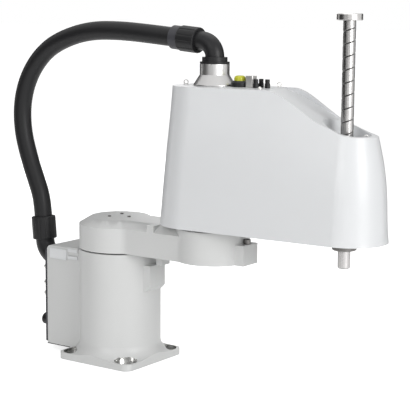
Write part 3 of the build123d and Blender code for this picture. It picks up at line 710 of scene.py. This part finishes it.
def socket_screw(name, foot, facing, height, body, slot):
    """A cap screw: a rounded head with a socket in it."""
    piece = round_bar(name, ROUND_SIDES, HEAD_RADIUS, foot, facing, height)
    pick_faces(piece, lambda face: face.normal.dot(facing) > FACING)
    bpy.ops.mesh.inset(thickness=HEAD_RADIUS * SOCKET_RIM)
    bpy.ops.mesh.inset(thickness=0, depth=-height * SOCKET_DEPTH)
    bpy.ops.object.mode_set(mode="OBJECT")
    soften(piece, HEAD_RADIUS * HEAD_EDGE)
    finish_piece(piece, body, slot)


def make_screws():
    """The small screws on the hub and at the rear panel's corners."""
    for number, (x, y) in enumerate(HUB_SCREWS):
        foot = (x, y, HUB_TOP)
        socket_screw(f"hub_screw_{number}", foot, UP, HUB_HEAD_HEIGHT, "arm_1", "dark_steel")
    low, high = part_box("rear_panel")
    number = 0
    for y in (low.y + PANEL_SCREW_INSET, high.y - PANEL_SCREW_INSET):
        for z in (low.z + PANEL_SCREW_INSET, high.z - PANEL_SCREW_INSET):
            foot, facing = (low.x, y, z), Vector((-1, 0, 0))
            name = f"panel_screw_{number}"
            socket_screw(name, foot, facing, PANEL_HEAD_HEIGHT, "base", "bright_steel")
            number += 1


def under_plumb(piece, x, y):
    """Returns the point and the normal where a plumb line meets a piece from above."""
    hit, point, normal, _ = piece.ray_cast(Vector((x, y, OVER_ALL)), -UP)
    if not hit:
        raise ValueError(f"nothing of {piece.name} lies under {x}, {y}")
    return point, normal


def wire_eye(name, cover, x, y):
    """A small steel eye on a foot that stands on the cover."""
    point, _ = under_plumb(cover, x, y)
    foot_radius = EYE_RADIUS * EYE_FOOT_SHARE
    foot_start = point - UP * EYE_WIRE
    foot = round_bar(name + "_foot", EYE_FOOT_SIDES, foot_radius, foot_start, UP, EYE_WIRE * 2)
    piece = new_primitive(
        name,
        bpy.ops.mesh.primitive_torus_add,
        major_segments=ROUND_SIDES,
        minor_segments=WIRE_SIDES,
        major_radius=EYE_RADIUS,
        minor_radius=EYE_WIRE,
        location=point + UP * EYE_RADIUS,
        rotation=(math.pi / 2, 0, EYE_TURN),
    )
    foot.select_set(True)
    bpy.ops.object.join()
    bpy.ops.object.shade_smooth_by_angle(angle=SHARP_ANGLE)
    finish_piece(piece, "arm_2", "silver")


def dome_cap(name, cover, x, y):
    """A low polished cap over a screw of the cover."""
    point, normal = under_plumb(cover, x, y)
    piece = new_primitive(
        name,
        bpy.ops.mesh.primitive_uv_sphere_add,
        segments=ROUND_SIDES,
        ring_count=CAP_RINGS,
        radius=EYE_RADIUS,
        location=point,
        rotation=turned(normal),
    )
    bpy.ops.object.shade_smooth()
    finish_piece(piece, "arm_2", "silver")


def make_cover_fittings(cover):
    """The wire eyes and the cap on the cover."""
    for number, (x, y) in enumerate(EYE_PLACES):
        wire_eye(f"cover_eye_{number}", cover, x, y)
    for number, (x, y) in enumerate(CAP_PLACES):
        dome_cap(f"cover_cap_{number}", cover, x, y)


def make_floor():
    """A pale floor that keeps the object's shadow."""
    floor = new_primitive(
        "floor", bpy.ops.mesh.primitive_plane_add, size=FLOOR_SIZE, location=(0, 0, -FLOOR_GAP)
    )
    material, nodes, links, shader = new_material("floor")
    shader.inputs["Base Color"].default_value = FLOOR_COLOUR
    shader.inputs["Roughness"].default_value = FLOOR_ROUGHNESS
    glow = nodes.new("ShaderNodeEmission")
    glow.inputs["Strength"].default_value = FLOOR_GLOW
    lit = nodes.new("ShaderNodeAddShader")
    links.new(shader.outputs["BSDF"], lit.inputs[0])
    links.new(glow.outputs["Emission"], lit.inputs[1])
    rays = nodes.new("ShaderNodeLightPath").outputs
    seen = reckon(nodes, links, "MAXIMUM", rays["Is Camera Ray"], rays["Is Glossy Ray"])
    choice = nodes.new("ShaderNodeMixShader")
    links.new(seen, choice.inputs["Fac"])
    links.new(shader.outputs["BSDF"], choice.inputs[1])
    links.new(lit.outputs["Shader"], choice.inputs[2])
    links.new(choice.outputs["Shader"], nodes["Material Output"].inputs["Surface"])
    floor.data.materials.append(material)


def make_cards():
    """Grey cards around the object that only its reflections show, for streaks on metal."""
    for number, (start, end, shade) in enumerate(CARD_SPANS):
        material, nodes, links, shader = new_material(f"card_{number}")
        nodes.remove(shader)
        glow = nodes.new("ShaderNodeEmission")
        glow.inputs["Color"].default_value = (shade, shade, shade, 1)
        links.new(glow.outputs["Emission"], nodes["Material Output"].inputs["Surface"])
        mesh = bpy.data.meshes.new(f"card_{number}")
        steps = [
            math.radians(start + (end - start) * k / CARD_STEPS) for k in range(CARD_STEPS + 1)
        ]
        ring = [(CARD_RADIUS * math.cos(t), CARD_RADIUS * math.sin(t)) for t in steps]
        corners = [(x, y, z) for z in CARD_HEIGHTS for x, y in ring]
        count = len(ring)
        faces = [(k, k + 1, k + 1 + count, k + count) for k in range(CARD_STEPS)]
        mesh.from_pydata(corners, [], faces)
        mesh.materials.append(material)
        card = bpy.data.objects.new(f"card_{number}", mesh)
        bpy.context.collection.objects.link(card)
        card.visible_camera = False
        card.visible_diffuse = False
        card.visible_shadow = False
        card.visible_transmission = False


def make_world():
    """White where the camera, reflections and clear pieces look, and a soft fill elsewhere."""
    world = bpy.data.worlds.new("studio")
    bpy.context.scene.world = world
    world.use_nodes = True
    nodes, links = world.node_tree.nodes, world.node_tree.links
    nodes.clear()
    fill = nodes.new("ShaderNodeBackground")
    fill.inputs["Strength"].default_value = WORLD_FILL
    white = nodes.new("ShaderNodeBackground")
    white.inputs["Color"].default_value = (1, 1, 1, 1)
    white.inputs["Strength"].default_value = 1.0
    rays = nodes.new("ShaderNodeLightPath").outputs
    seen = reckon(nodes, links, "MAXIMUM", rays["Is Camera Ray"], rays["Is Glossy Ray"])
    clear = reckon(nodes, links, "MAXIMUM", seen, rays["Is Transmission Ray"])
    choice = nodes.new("ShaderNodeMixShader")
    links.new(clear, choice.inputs["Fac"])
    links.new(fill.outputs["Background"], choice.inputs[1])
    links.new(white.outputs["Background"], choice.inputs[2])
    output = nodes.new("ShaderNodeOutputWorld")
    links.new(choice.outputs["Shader"], output.inputs["Surface"])


def area_light(name, place, aim, size, power):
    """A soft square lamp that looks at a point."""
    data = bpy.data.lights.new(name, "AREA")
    data.shape = "SQUARE"
    data.size = size
    data.energy = power
    lamp = bpy.data.objects.new(name, data)
    lamp.location = place
    lamp.rotation_euler = (Vector(aim) - Vector(place)).to_track_quat("-Z", "Y").to_euler()
    bpy.context.collection.objects.link(lamp)


bpy.context.scene.view_settings.view_transform = "Standard"
make_camera()
MATERIALS = make_materials()
finish_cad_nodes()
make_hose()
dressed = {node: dress(node, body, width) for node, body, width in SOFTENED}
make_screws()
make_cover_fittings(dressed["arm_2_cover"])
make_housing_pieces()
groove_shaft()
make_hose_nuts()
make_floor()
make_cards()
make_world()
for lamp in LAMPS:
    area_light(*lamp)
